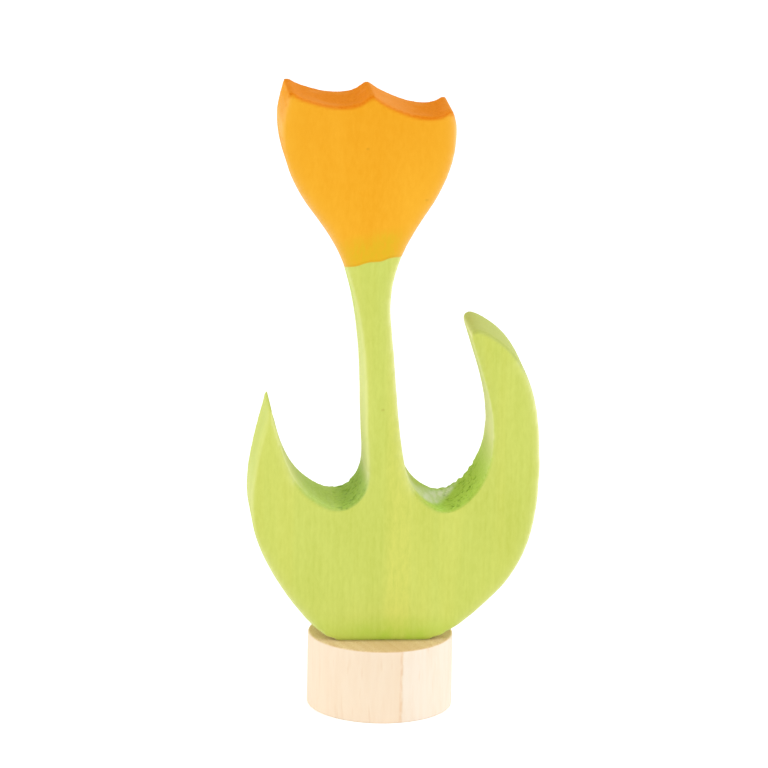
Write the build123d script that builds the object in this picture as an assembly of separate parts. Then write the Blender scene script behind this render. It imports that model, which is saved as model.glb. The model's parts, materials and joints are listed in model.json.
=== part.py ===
from build123d import *
from itertools import accumulate
import os

# A tulip sawn from a flat board, standing on a round plug that pushes into a ring.
# The origin is the middle of the plug's underside. +Z is up, the board lies in the
# XZ plane and faces -Y. Left and right are as seen from the front. Sizes are in mm.

# Plug, a slice of round rod, and the narrow bevels that sanding leaves on its rims
plug_diameter = 20.0
plug_height = 10.2
plug_rim_bevel = 0.3
plug_foot_bevel = 0.3

# Board, the bevel of its sanded arrises, the round of its foot's corners, and how far it was
# glued behind the plug's axis
board_thickness = 12.0
arris_bevel = 0.5
foot_corner_round = 2.5
board_setback = 1.4

# Foot, how far it reaches to each side of the plug's axis
foot_left_reach = 7.65
foot_right_reach = 7.5

# Levels of the stem and the flower, each measured up from the level below it
stem_root_rise = 26.23
stem_waist_rise = 11.56
flower_neck_rise = 10.95
flower_flare_rise = 7.52
flower_belly_rise = 5.75
flower_brim_rise = 8.21

# Width of the stem and the flower at those levels
stem_root_width = 4.61
stem_waist_width = 3.82
flower_neck_width = 5.01
flower_flare_width = 10.62
flower_belly_width = 18.18
flower_brim_width = 23.09

# How far the middle of each level leans to the left of the level below it
stem_root_lean = 0.29
stem_waist_lean = 0.92
flower_neck_lean = 1.19
flower_flare_lean = 0.29
flower_belly_lean = 0.25
flower_brim_lean = 0.18

# Petal tips, measured from the flower's brim level: its left side, middle and right side
left_petal_inset = 0.88
left_petal_rise = 5.54
middle_petal_shift = 0.38
middle_petal_rise = 5.26
right_petal_inset = 0.39
right_petal_rise = 3.18

# Scallops between the petal tips: the fall from the tip on their left, then on to the low point
left_scallop_fall_reach = 3.78
left_scallop_fall_depth = 1.14
left_scallop_low_reach = 3.96
left_scallop_low_depth = 0.48
right_scallop_fall_reach = 3.62
right_scallop_fall_depth = 1.8
right_scallop_low_reach = 2.76
right_scallop_low_depth = 0.87

# Left gap, measured out from the stem's root and up from the gap's floor
left_gap_floor_height = 18.97
left_gap_toe_reach = 0.58
left_gap_toe_rise = 1.83
left_gap_floor_reach = 2.65
left_gap_heel_reach = 8.59
left_gap_heel_rise = 1.98

# Left leaf, each point of its inner edge measured from the one below it
left_leaf_curl_reach = 2.81
left_leaf_curl_rise = 4.62
left_leaf_tip_reach = 1.73
left_leaf_tip_rise = 6.99

# Left leaf, width at the curl and at the gap's heel, and the flank that joins it to the foot
left_leaf_curl_width = 3.41
left_leaf_curl_skew = 0.43
left_leaf_root_width = 6.98
left_leaf_root_drop = 3.09
left_flank_flare = 6.52
left_flank_rise = 7.76

# Right gap, measured out from the stem's root and up from the gap's floor
right_gap_floor_height = 18.41
right_gap_toe_reach = 2.44
right_gap_toe_rise = 1.76
right_gap_floor_reach = 6.16
right_gap_heel_reach = 10.65
right_gap_heel_rise = 3.18

# Right leaf, each point of its inner edge measured from the one below it; it hooks back inwards
right_leaf_curl_reach = 1.96
right_leaf_curl_rise = 7.54
right_leaf_hook_return = 1.61
right_leaf_hook_rise = 7.99
right_leaf_tip_return = 2.16
right_leaf_tip_rise = 6.92
right_leaf_tip_round = 0.8

# Right leaf, width at the hook and at the curl, and the flank that joins it to the foot
right_leaf_hook_width = 3.32
right_leaf_hook_skew = 3.64
right_leaf_curl_width = 6.12
right_leaf_curl_drop = 3.79
right_flank_flare = 5.01
right_flank_rise = 5.43
right_flank_low_flare = 4.76
right_flank_low_rise = 3.69

# Dowel, glued into a blind hole in the plug and another in the board's foot
dowel_diameter = 6.0
dowel_in_board = 9.0
dowel_end_chamfer = 0.6
dowel_flute_count = 12
dowel_flute_radius = 0.35
glue_gap = 0.05
dowel_end_room = 0.5
plug_floor = 2.7

dowel_in_plug = plug_height - plug_floor - dowel_end_room
dowel_length = dowel_in_plug + dowel_in_board
hole_radius = dowel_diameter / 2 + glue_gap

# A cylinder placed this way stands with its lower end on its own origin
standing = (Align.CENTER, Align.CENTER, Align.MIN)


def stem_and_flower_sides():
    """Left and right points of the stem and flower, level by level from the root up."""
    rises = [stem_root_rise, stem_waist_rise, flower_neck_rise]
    rises += [flower_flare_rise, flower_belly_rise, flower_brim_rise]
    widths = [stem_root_width, stem_waist_width, flower_neck_width]
    widths += [flower_flare_width, flower_belly_width, flower_brim_width]
    leans = [stem_root_lean, stem_waist_lean, flower_neck_lean]
    leans += [flower_flare_lean, flower_belly_lean, flower_brim_lean]
    levels = list(zip(accumulate(leans), widths, accumulate(rises)))
    left = [Vector(-lean - width / 2, height) for lean, width, height in levels]
    right = [Vector(-lean + width / 2, height) for lean, width, height in levels]
    return left, right


def tulip_outline():
    """The face that the saw cuts out, seen from the front, with the foot on y = 0."""
    left_side, right_side = stem_and_flower_sides()
    foot_left = Vector(-foot_left_reach, 0)
    foot_right = Vector(foot_right_reach, 0)

    left_petal = left_side[-1] + (left_petal_inset, left_petal_rise)
    right_petal = right_side[-1] + (-right_petal_inset, right_petal_rise)
    middle_petal = (left_side[-1] + right_side[-1]) / 2 + (middle_petal_shift, middle_petal_rise)
    left_fall = left_petal + (left_scallop_fall_reach, -left_scallop_fall_depth)
    left_dip = left_fall + (left_scallop_low_reach, -left_scallop_low_depth)
    right_fall = middle_petal + (right_scallop_fall_reach, -right_scallop_fall_depth)
    right_dip = right_fall + (right_scallop_low_reach, -right_scallop_low_depth)

    left_floor = Vector(left_side[0].X, left_gap_floor_height)
    left_toe = left_floor + (-left_gap_toe_reach, left_gap_toe_rise)
    left_low = left_floor + (-left_gap_floor_reach, 0)
    left_heel = left_floor + (-left_gap_heel_reach, left_gap_heel_rise)
    left_curl = left_heel + (-left_leaf_curl_reach, left_leaf_curl_rise)
    left_tip = left_curl + (-left_leaf_tip_reach, left_leaf_tip_rise)
    left_curl_back = left_curl + (-left_leaf_curl_width, left_leaf_curl_skew)
    left_root_back = left_heel - (left_leaf_root_width, left_leaf_root_drop)
    left_flank = foot_left + (-left_flank_flare, left_flank_rise)

    right_floor = Vector(right_side[0].X, right_gap_floor_height)
    right_toe = right_floor + (right_gap_toe_reach, right_gap_toe_rise)
    right_low = right_floor + (right_gap_floor_reach, 0)
    right_heel = right_floor + (right_gap_heel_reach, right_gap_heel_rise)
    right_curl = right_heel + (right_leaf_curl_reach, right_leaf_curl_rise)
    right_hook = right_curl + (-right_leaf_hook_return, right_leaf_hook_rise)
    right_tip = right_hook + (-right_leaf_tip_return, right_leaf_tip_rise)
    right_hook_back = right_hook + (right_leaf_hook_width, right_leaf_hook_skew)
    right_curl_back = right_curl + (right_leaf_curl_width, -right_leaf_curl_drop)
    right_flank_low = foot_right + (right_flank_low_flare, right_flank_low_rise)
    right_flank = right_flank_low + (right_flank_flare, right_flank_rise)

    saw_cuts = [
        Spline(foot_left, left_flank, left_root_back, left_curl_back, left_tip),
        Spline(left_tip, left_curl, left_heel, left_low, left_toe, *left_side, left_petal),
        Spline(left_petal, left_fall, left_dip, middle_petal),
        Spline(middle_petal, right_fall, right_dip, right_petal),
        Spline(right_petal, *reversed(right_side), right_toe, right_low, right_heel,
               right_curl, right_hook, right_tip),
        Spline(right_tip, right_hook_back, right_curl_back, right_flank, right_flank_low, foot_right),
        Line(foot_right, foot_left),
    ]
    face = make_face(saw_cuts)
    blunt_tip = face.vertices().sort_by_distance(right_tip)[0]
    face = fillet(blunt_tip, right_leaf_tip_round)
    foot_corners = face.vertices().group_by(Axis.Y)[0]
    return fillet(foot_corners, foot_corner_round)


def make_board():
    """Sawn to the outline, arrises sanded off at front and back, drilled from below."""
    back = Plane.XZ.offset(-board_thickness / 2)
    blank = extrude(back * tulip_outline(), board_thickness)
    arrises = blank.faces().filter_by(Axis.Y).edges()
    sanded = Pos(0, board_setback, plug_height) * chamfer(arrises, arris_bevel)
    hole = Cylinder(hole_radius, dowel_in_board + dowel_end_room, align=standing)
    return sanded - Pos(0, 0, plug_height) * hole


def make_plug():
    """Sawn off the rod, rims sanded off, drilled from above to leave a floor."""
    slice_of_rod = Cylinder(plug_diameter / 2, plug_height, align=standing)
    rims = slice_of_rod.edges().filter_by(GeomType.CIRCLE).sort_by(Axis.Z)
    sanded = chamfer(rims[-1], plug_rim_bevel)
    rims = sanded.edges().filter_by(GeomType.CIRCLE).sort_by(Axis.Z)
    sanded = chamfer(rims[0], plug_foot_bevel)
    hole = Cylinder(hole_radius, plug_height - plug_floor, align=standing)
    return sanded - Pos(0, 0, plug_floor) * hole


def make_dowel():
    """Rod with chamfered ends and flutes along it that let the glue rise."""
    rod = Cylinder(dowel_diameter / 2, dowel_length, align=standing)
    rod = chamfer(rod.edges().filter_by(GeomType.CIRCLE), dowel_end_chamfer)
    around = PolarLocations(dowel_diameter / 2, dowel_flute_count)
    flutes = Sketch() + around * Circle(dowel_flute_radius)
    fluted = rod - extrude(flutes, dowel_length)
    return Pos(0, 0, plug_height - dowel_in_plug) * fluted


os.makedirs("parts", exist_ok=True)
export_step(make_board(), "parts/tulip_board.step")
export_step(make_plug(), "parts/base_plug.step")
export_step(make_dowel(), "parts/dowel_pin.step")
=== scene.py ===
# %% [markdown]
# # A sawn wooden tulip
# This lesson dresses a small wooden figure: a tulip sawn from a flat board, stained green
# and orange, on a round plug of bare wood. The solids come from the CAD model and give every
# size. What is added here is what hands, tools and wood leave behind: rounded arrises,
# saw marks, torn fibres, grain, and two stains that overlap.
# Lengths are written in millimetres, and MM turns them into the metres that Blender counts in.

# %% Load the frame
import json
import bpy
import numpy as np
from mathutils import Matrix, Vector, kdtree, noise

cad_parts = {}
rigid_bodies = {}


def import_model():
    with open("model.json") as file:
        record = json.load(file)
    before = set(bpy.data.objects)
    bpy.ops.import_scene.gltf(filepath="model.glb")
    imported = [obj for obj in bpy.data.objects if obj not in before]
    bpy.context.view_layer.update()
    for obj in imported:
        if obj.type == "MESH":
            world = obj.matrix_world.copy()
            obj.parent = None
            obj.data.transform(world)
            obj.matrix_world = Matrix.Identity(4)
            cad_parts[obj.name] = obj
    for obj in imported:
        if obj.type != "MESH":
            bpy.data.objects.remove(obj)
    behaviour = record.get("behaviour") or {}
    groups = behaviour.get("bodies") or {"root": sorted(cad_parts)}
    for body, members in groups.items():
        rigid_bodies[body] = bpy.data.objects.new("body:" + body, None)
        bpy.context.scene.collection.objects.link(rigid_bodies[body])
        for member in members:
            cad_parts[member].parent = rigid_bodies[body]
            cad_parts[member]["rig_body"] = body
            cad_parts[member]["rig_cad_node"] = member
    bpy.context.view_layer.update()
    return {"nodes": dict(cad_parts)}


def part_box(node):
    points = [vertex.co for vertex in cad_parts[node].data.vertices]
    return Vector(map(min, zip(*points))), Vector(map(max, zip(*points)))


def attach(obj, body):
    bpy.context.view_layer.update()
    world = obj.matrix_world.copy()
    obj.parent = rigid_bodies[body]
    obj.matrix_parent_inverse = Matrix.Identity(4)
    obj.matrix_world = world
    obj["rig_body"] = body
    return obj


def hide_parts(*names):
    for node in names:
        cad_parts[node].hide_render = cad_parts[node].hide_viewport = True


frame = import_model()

MM = 0.001
print("nodes:", sorted(frame["nodes"]))

# %% [markdown]
# ## Helpers for the whole lesson
# An operator works on whatever is selected, so each step begins by taking up one piece and
# nothing else. Vertices are read and moved all at once as one array, because asking for them
# one by one is slow. The soft step is the curve that most blends in this file follow: 0 below
# one value, 1 above another, and smooth between them. A window is a box on the board's front,
# from one X to another and from one Z to another.

# %% Take up one piece, read and move its vertices
def take_up(piece):
    bpy.ops.object.select_all(action="DESELECT")
    piece.select_set(True)
    bpy.context.view_layer.objects.active = piece


def vertex_places(piece):
    flat = np.empty(len(piece.data.vertices) * 3)
    piece.data.vertices.foreach_get("co", flat)
    return flat.reshape(-1, 3) / MM


def vertex_normals(piece):
    flat = np.empty(len(piece.data.vertices) * 3)
    piece.data.vertex_normals.foreach_get("vector", flat)
    return flat.reshape(-1, 3)


def move_vertices(piece, places):
    piece.data.vertices.foreach_set("co", (places * MM).ravel())
    piece.data.update()


def soft_step(value, low, high):
    share = np.clip((value - low) / (high - low), 0, 1)
    return share * share * (3 - 2 * share)


def in_window(spots, from_x, to_x, from_z, to_z):
    wide, tall = spots[:, 0], spots[:, 2]
    return (wide > from_x) & (wide < to_x) & (tall > from_z) & (tall < to_z)


print("a soft step from 2 to 4 has come to", soft_step(2.5, 2.0, 4.0), "at 2.5")

# %% [markdown]
# ## The board: an even net over the sawn shape
# The real figure was cut from a 12 mm board with a fine saw and its edges were eased with
# sandpaper. The CAD solid has the right outline, but its triangles are long and uneven, and
# fibres can't be torn out of a triangle as long as a leaf. So a copy is taken first and merged
# into one closed skin. Modelling the outline again by hand would only be a second, worse copy
# of the same curve.

# %% Copy the board and merge it into one skin
WELD = 0.001

cad_board = frame["nodes"]["tulip_board"]
board_low, board_high = (Vector(corner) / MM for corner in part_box("tulip_board"))
board_middle = (board_low.y + board_high.y) / 2
take_up(cad_board)
bpy.ops.object.duplicate()
board = bpy.context.active_object
board.name = "stained_board"
board.parent = None
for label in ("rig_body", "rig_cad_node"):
    del board[label]
board.data.materials.clear()

bpy.ops.object.mode_set(mode="EDIT")
bpy.ops.mesh.select_all(action="SELECT")
bpy.ops.mesh.remove_doubles(threshold=WELD * MM)
bpy.ops.object.mode_set(mode="OBJECT")
print("copied skin:", len(board.data.polygons), "uneven triangles")
print("the board stands", round(board_middle, 2), "mm behind the plug's axis")

# %% [markdown]
# A voxel remesh fills the skin with small cubes and draws a net of squares around them, so the
# net is a little off the sawn surface. A Shrinkwrap modifier then pulls every vertex back onto
# the nearest place of the exact solid. Squares of a third of a millimetre are fine enough for
# a sanded arris, and the board stays below 200,000 triangles.

# %% Lay the net and pull it onto the solid
NET = 0.34

net = board.modifiers.new("even_net", "REMESH")
net.mode = "VOXEL"
net.voxel_size = NET * MM
bpy.ops.object.modifier_apply(modifier=net.name)

pull = board.modifiers.new("back_onto_solid", "SHRINKWRAP")
pull.target = cad_board
pull.wrap_method = "NEAREST_SURFACEPOINT"
bpy.ops.object.modifier_apply(modifier=pull.name)
print("board net:", len(board.data.polygons), "faces of", NET, "mm")

# %% [markdown]
# ## Sanding the arrises
# Sandpaper takes most off the long edges of leaves, stem and flower, where a hand can get at
# them. It takes less off the flower's top and left side, the leaf tips and the floors of the two
# gaps, and nearly nothing off the arris that sits on the plug. A Smooth modifier does the same
# to a net, and a vertex group says how hard it rubs at each place. A bevel would be the other
# way, but it would be as wide in the gaps as on the leaves.

# %% Ease the edges
EASE_STROKES = 12
STROKE_STRENGTH = 0.5
LEFT_FLOOR = (-14.0, -1.8, 28.0, 35.0)
RIGHT_FLOOR = (0.9, 15.2, 28.0, 38.0)
FLOOR_RUB = 0.35
FOOT_RUB = 0.1
TOP_SPARED = 0.75
LEFT_SPARED = 0.85
RIGHT_TIP_SPARED = 0.7

places = vertex_places(board)
x, _, z = places.T
rubbing = np.full(len(places), 1.0)
rubbing[in_window(places, *LEFT_FLOOR) | in_window(places, *RIGHT_FLOOR)] = FLOOR_RUB
rubbing *= 1 - TOP_SPARED * soft_step(z, 80.0, 82.5)
rubbing *= 1 - LEFT_SPARED * soft_step(z, 38.0, 41.0) * (x < -12.0)
rubbing *= 1 - RIGHT_TIP_SPARED * soft_step(z, 37.0, 43.0) * (x > 8.5) * (z < 60.0)
rubbing *= FOOT_RUB + (1 - FOOT_RUB) * soft_step(z, 10.4, 12.0)
rubbed_group = board.vertex_groups.new(name="rubbing")
for index in np.flatnonzero(rubbing > 0.001):
    rubbed_group.add([int(index)], float(rubbing[index]), "REPLACE")

sanding = board.modifiers.new("sanding", "SMOOTH")
sanding.factor = STROKE_STRENGTH
sanding.iterations = EASE_STROKES
sanding.vertex_group = "rubbing"
take_up(board)
bpy.ops.object.modifier_apply(modifier=sanding.name)
print("sanded with", EASE_STROKES, "strokes, hardest on", int((rubbing > 0.9).sum()), "vertices")

# %% [markdown]
# ## The sides
# Smoothing draws a slim shape in, so the sides are let out again by a hair. The saw also left
# the sides that face right a little fuller than the drawn outline, most of all at the waist of
# the stem, and this was measured on the photograph. The sharp tips of the left leaf and of the
# petals stay as they are. Each side moves along X only, by how squarely it faces sideways.

# %% Let the sides out again
SIDE_SWELL = 0.06
RIGHT_SWELL = 0.2
WAIST_SWELL = 0.14
WAIST_HEIGHT = 52.0
STEM_HALF = 6.0

places = vertex_places(board)
x, _, z = places.T
aside = vertex_normals(board)[:, 0]
on_stem = (np.abs(x) < STEM_HALF) * (1 - soft_step(np.abs(z - WAIST_HEIGHT), 1.0, 7.0))
swell = SIDE_SWELL + soft_step(aside, 0.0, 0.3) * (RIGHT_SWELL + WAIST_SWELL * on_stem)
swell *= 1 - soft_step(z, 38.5, 42.0) * (x < -12.0) * (z < 50.0)
swell *= 1 - soft_step(z, 81.5, 84.0)
places[:, 0] += np.sign(aside) * swell * soft_step(np.abs(aside), 0.1, 0.5)
move_vertices(board, places)
print("sides let out by", SIDE_SWELL, "mm on the left")
print("and by", SIDE_SWELL + RIGHT_SWELL, "mm on the right, more at the waist")

# %% [markdown]
# ## The sharp tips
# The left leaf and the three petals end in sharp tips, and each tip is a ridge that runs
# through the board from front to back. A net of squares blunts a ridge that is narrower than
# one square. So each ridge is measured in slices from front to back and drawn up again to the
# height that the solid has there. A finer net would do it too, with four times the faces.

# %% Draw the sharp tips out again
# For each tip: the window that holds it, and how far it ends above the solid's tip
TIP_WINDOWS = {"left leaf": (-18.0, -12.0, 38.0, 50.0, -0.2),
               "left petal": (-15.0, -11.0, 83.0, 90.0, 0.12),
               "middle petal": (-4.5, -0.5, 83.0, 90.0, 0.03),
               "right petal": (5.5, 9.0, 81.0, 90.0, 0.03)}
TIP_REACH = 2.4
SLICES = np.linspace(-5.5, 5.5, 23)
SLICE_HALF = 0.3

places = vertex_places(board)
from_middle = places[:, 1] - board_middle
solid = vertex_places(cad_board)
for tip, (*window, extra) in TIP_WINDOWS.items():
    tip_solid = solid[in_window(solid, *window)]
    tip_x, _, tip_height = tip_solid[tip_solid[:, 2].argmax()]
    inside = in_window(places, *window)
    ridge = []
    for middle in SLICES:
        in_slice = inside & (np.abs(from_middle - middle) < SLICE_HALF)
        ridge.append(places[in_slice, 2].max(initial=window[2]))
    top = np.interp(from_middle, SLICES, ridge)
    lack = np.maximum(tip_height + extra - top, 0)
    near = soft_step(places[:, 2], top - TIP_REACH, top) ** 2
    near *= 1 - soft_step(np.abs(places[:, 0] - tip_x), 0.5, 1.8)
    places[:, 2] += np.where(inside, lack * near, 0)
    print(tip, "drawn out by up to", round(float(lack[inside].max()), 2), "mm")
move_vertices(board, places)

# %% [markdown]
# ## The foot
# The long arris under the foot sits on the plug and was never sanded, so the bevel that the
# solid has there is mostly filled again. The foot's two corners were sanded round, and they
# lift a little off the plug and let a thin shadow in.

# %% Square the foot
FOOT_BEVEL = 0.5
BEVEL_FILL = 0.6
CORNER_LIFT = 0.45

places = vertex_places(board)
low_share = 1 - soft_step(places[:, 2] - board_low.z, FOOT_BEVEL, 1.6 * FOOT_BEVEL)
for face_y in (board_low.y, board_high.y):
    short = face_y - places[:, 1]
    on_bevel = np.abs(short) < 1.1 * FOOT_BEVEL
    places[:, 1] += np.where(on_bevel, BEVEL_FILL * low_share * short, 0)
at_corner = soft_step(np.abs(places[:, 0]), 5.6, 8.4)
places[:, 2] += CORNER_LIFT * at_corner * (1 - soft_step(places[:, 2] - board_low.z, 0.0, 2.0))
move_vertices(board, places)
print("foot squared on", int((low_share > 0.5).sum()), "vertices")

# %% [markdown]
# ## Where the saw tore the wood
# Going round the bottom of a gap the blade cuts across the fibres, and on the side where it
# runs against them it pulls small bundles out. The floor is left pitted there, and its far
# arris ragged. Such pits are a third of a millimetre wide, finer than the net, so the torn
# faces are subdivided first and pushed in later. Dividing the whole board would waste faces on
# places that were cut clean.

# %% Find the torn places and divide them finer
LEFT_TORN = 0.8
TORN_ENOUGH = 0.08


def torn_weight(piece):
    x, _, z = vertex_places(piece).T
    _, through, upward = vertex_normals(piece).T
    sawn = 1 - soft_step(np.abs(through), 0.55, 0.95)
    left = LEFT_TORN * soft_step(x, -8.0, -5.6) * (1 - soft_step(z, 30.6, 32.6)) * (x < -1.8)
    right = soft_step(x, 7.2, 9.0) * (1 - soft_step(z, 31.4, 35.4)) * (x < 15.2)
    return sawn * (z > 28.0) * soft_step(upward, 0.1, 0.5) * np.maximum(left, right)


to_divide = torn_weight(board) > TORN_ENOUGH
take_up(board)
bpy.ops.object.mode_set(mode="EDIT")
bpy.ops.mesh.select_all(action="DESELECT")
bpy.ops.object.mode_set(mode="OBJECT")
for face in board.data.polygons:
    face.select = any(to_divide[corner] for corner in face.vertices)
bpy.ops.object.mode_set(mode="EDIT")
bpy.ops.mesh.subdivide(number_cuts=2, ngon=False)
bpy.ops.object.mode_set(mode="OBJECT")
print("board with finer torn places:", len(board.data.polygons), "faces")

# %% [markdown]
# ## What the stain needs to know
# Stain doesn't lie on wood as paint does. The face and the upright sides are cut along the
# fibres. The floors of the gaps and the scallops between the petals are cut across them, and
# their open ends drink more. A pattern can't see that, so every vertex is measured, and the
# results stay on the mesh as attributes that the stain reads later.
# Where hands could sand, the side fades gently into the face. In the gaps, on the right leaf's
# tip and on the scallops the edge between them is crisp. In these cells the pairs of numbers
# in a soft step are millimetres on the board, or how far a face is turned, from 0 to 1.

# %% Measure how every place of the board is cut
LEFT_GAP = (-14.5, -1.8, 28.0, 40.0)
RIGHT_GAP = (0.9, 15.2, 28.0, 42.0)
RIGHT_TIP = (8.5, 22.0, 40.0, 60.0)
SCALLOPS_FROM = 78.0
FLOWER_FROM = 60.0
END_GRAIN_CURVE = 2.2


def paint(piece, name, values):
    layer = piece.data.attributes.new(name, "FLOAT", "POINT")
    layer.data.foreach_set("value", values.astype(np.float32))


places = vertex_places(board)
normals = vertex_normals(board)
x, y, z = places.T
aside, through, upward = normals.T
from_middle = y - board_middle
facing = np.abs(through)
sawn = 1 - soft_step(facing, 0.55, 0.95)
in_left_gap = in_window(places, *LEFT_GAP)
in_right_gap = in_window(places, *RIGHT_GAP)
on_right_tip = in_window(places, *RIGHT_TIP)
on_scallops = z > SCALLOPS_FROM
unsanded = in_left_gap | in_right_gap | on_right_tip | on_scallops
crisp = np.where(unsanded, 1 - soft_step(facing, 0.6, 0.95), 1 - soft_step(facing, 0.3, 0.75))
level = np.clip((np.abs(upward) - 0.04) / 0.96, 0, 1)
cut_across = crisp * (1 - (1 - level) ** END_GRAIN_CURVE)
print("cut across the fibres:", int((cut_across > 0.5).sum()), "of", len(places), "vertices")

# %% [markdown]
# Not all end grain drank the same. The floor of the right gap and the scallops took the most.
# The leaves' inner sides and the stem side of the right gap took little, because the cut there
# already turns along the fibres. Across each gap the floor is also lighter where it tilts to the
# right and darker where it tilts to the left, and that difference is partly painted light and
# shade from the stronger right softbox. The corner between the left gap's floor and the stem is
# darker, up the wall too: painted shade in the corner.

# %% Let the end grain drink, and paint shade in the left gap's corner
PLAIN_THIRST = 0.4
RIGHT_LEAF_THIRST = 0.15
LEFT_LEAF_THIRST = 0.1
PAINTED_CORNER_SHADE = 0.8

thirst = np.full(len(places), PLAIN_THIRST)
# partly painted shade: each gap floor is darker where it tilts to the left
on_left_floor = 0.66 * soft_step(x, -13.8, -9.6) + 0.28 * soft_step(x, -7.0, -5.0)
thirst = np.where(in_left_gap, on_left_floor, thirst)
thirst = np.where(in_right_gap, 0.1 + 0.9 * soft_step(x, 3.4, 8.0), thirst)
up_right_leaf = soft_step(z, 36.0, 43.0) * (x > 8.0) * (z < FLOWER_FROM)
thirst += (RIGHT_LEAF_THIRST - thirst) * up_right_leaf
up_left_leaf = soft_step(z, 32.0, 38.0) * (x < -11.0) * (z < FLOWER_FROM)
thirst += (LEFT_LEAF_THIRST - thirst) * up_left_leaf
thirst = np.where(z > FLOWER_FROM, 0.3 + 0.7 * soft_step(z, 76.0, 81.0), thirst)
# painted shade in the corner between the left gap's floor and the stem
corner_shade = crisp * in_left_gap * (x > -5.5) * (1 - soft_step(z, 30.8, 34.4))
drunk_and_shaded = np.maximum(cut_across * thirst, PAINTED_CORNER_SHADE * corner_shade)
paint(board, "end_grain_and_shade", drunk_and_shaded)
print("dark with stain:", int((drunk_and_shaded > 0.5).sum()), "vertices")

# %% [markdown]
# Three small things show on the cut edges. A crisp arris is tinted a little darker. The slope on
# top of the right leaf's tip is greyish, which is painted sheen and shade. On the scallops the
# sides that fall to the right are lighter, a painted highlight and sheen where they turn to the
# stronger right light.

# %% Mark the arrises, the painted sheen on the tip and the painted highlight on the scallops
arris = unsanded * soft_step(upward, 0.15, 0.45) * soft_step(facing, 0.2, 0.55)
arris *= 1 - soft_step(facing, 0.82, 0.97)
arris *= np.where(on_right_tip, 0.45 * soft_step(z, 43.0, 48.0), np.where(on_scallops, 0.65, 0.5))
# painted sheen and shade: the top slope of the right leaf's tip is greyed
tip_sheen_and_shade = crisp * soft_step(upward, 0.1, 0.5) * soft_step(z, 40.0, 44.0) * on_right_tip
# painted highlight and sheen: scallop sides that face right are lightened
scallop_highlight = on_scallops * crisp * soft_step(aside, 0.1, 0.45) * (0.4 + 0.6 * (x > -3.0))
paint(board, "tip_sheen_and_shade", tip_sheen_and_shade)
paint(board, "arris", arris)
paint(board, "lit_scallop_sides", scallop_highlight)
print("dull on", int((tip_sheen_and_shade > 0.5).sum()), "vertices, wiped on", int((scallop_highlight > 0.5).sum()))

# %% [markdown]
# The two gaps differ most. In the right one a pale patch of painted sheen slants across the floor,
# the white room reflected at a low angle, and the torn pits begin beside it. The left one has
# only a faint painted sheen on its left slope, and next to the stem it is darkest, with painted
# shade.

# %% Mark the torn floors and paint the sheen on them
SHEEN_SLANT = 0.45
SHEEN_MIDDLE = 0.3
LEFT_FLOOR_SHEEN = 0.13

torn = torn_weight(board)
# painted shade next to the stem in the left gap, added to the pits' darkening below
shade_by_stem = crisp * in_left_gap * soft_step(x, -7.0, -4.8) * (1 - soft_step(z, 31.5, 36.0))
# painted sheen: a pale slanted patch on the right gap's floor, a faint one on the left gap's slope
slanted = x - SHEEN_SLANT * from_middle
painted_sheen = in_right_gap * soft_step(slanted, 3.4, 6.4) * (1 - soft_step(slanted, 7.8, 9.4))
painted_sheen *= 1 - soft_step(np.abs(from_middle - SHEEN_MIDDLE), 2.6, 5.6)
left_floor_sheen = in_left_gap * soft_step(x, -14.5, -11.0) * (1 - soft_step(z, 33.0, 39.0))
left_floor_sheen *= 1 - 0.5 * soft_step(x, -7.5, -5.0)
painted_sheen = np.maximum(painted_sheen, LEFT_FLOOR_SHEEN * left_floor_sheen)
paint(board, "torn", torn)
paint(board, "painted_sheen", sawn * painted_sheen)
print("torn on", int((torn > 0.5).sum()), "vertices, scuffed on", int((painted_sheen > 0.5).sum()))

# %% [markdown]
# The upright sides look paler than the face. This is painted sheen, the white room reflected at a
# low angle, and on walls deep between stem and leaves, which the lamps reach less, painted light as
# well. How pale depends on the side: the stem's right side down in the gap, the inside of the
# right leaf and the right of the flower, which turns to the stronger right light, are the palest,
# and the outer left is the least. End grain is spared, because it is coloured on its own.

# %% Paint the sheen and light on the sawn sides
OUTER_LEFT_PALE = 0.62
STEM_LEFT_PALE = 0.85
LEFT_TURNED_MORE = 0.35
FLOWER_RIGHT_MORE = 1.1

turned_left = aside < 0
outer_left = (x < -10.0) & turned_left & (z < 50.0)
inner_left = in_left_gap & (x < -9.0)
inner_right = (x > 8.5) & (z > 28.0) & (z < FLOWER_FROM) & turned_left
stem_left = in_window(places, -6.0, 2.0, 34.0, 64.0)
stem_right = in_right_gap & (x < 4.6)
to_left_tip = soft_step(z, 31.0, 38.0) * (x < -10.5) * (z < 50.0)
# painted sheen and light: how far each side is lifted towards the pale tint
paleness = np.where(outer_left, OUTER_LEFT_PALE - 0.32 * to_left_tip,
                    1.0 + LEFT_TURNED_MORE * turned_left)
paleness[stem_left] = STEM_LEFT_PALE
paleness[inner_left] = 1.0
paleness = np.where(stem_right, 2.2 - 1.2 * soft_step(z, 34.0, 41.0), paleness)
paleness += FLOWER_RIGHT_MORE * soft_step(z, 63.0, 74.0) * soft_step(aside, 0.1, 0.4)
paleness = np.where(inner_right, 1.35 + 1.15 * soft_step(z, 38.0, 45.0), paleness)
on_wall = 1 - soft_step(facing, 0.25, 0.6)
pale_here = np.where(inner_left | inner_right | stem_right, on_wall, sawn)
spared = 1 - np.where(inner_left, cut_across * thirst, cut_across)
spared[on_scallops & (level > 0.2)] = 0
paint(board, "side_sheen_and_light", pale_here * spared * paleness)
print("palest side:", round(float((pale_here * spared * paleness).max()), 2), "times the plain one")

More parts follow.
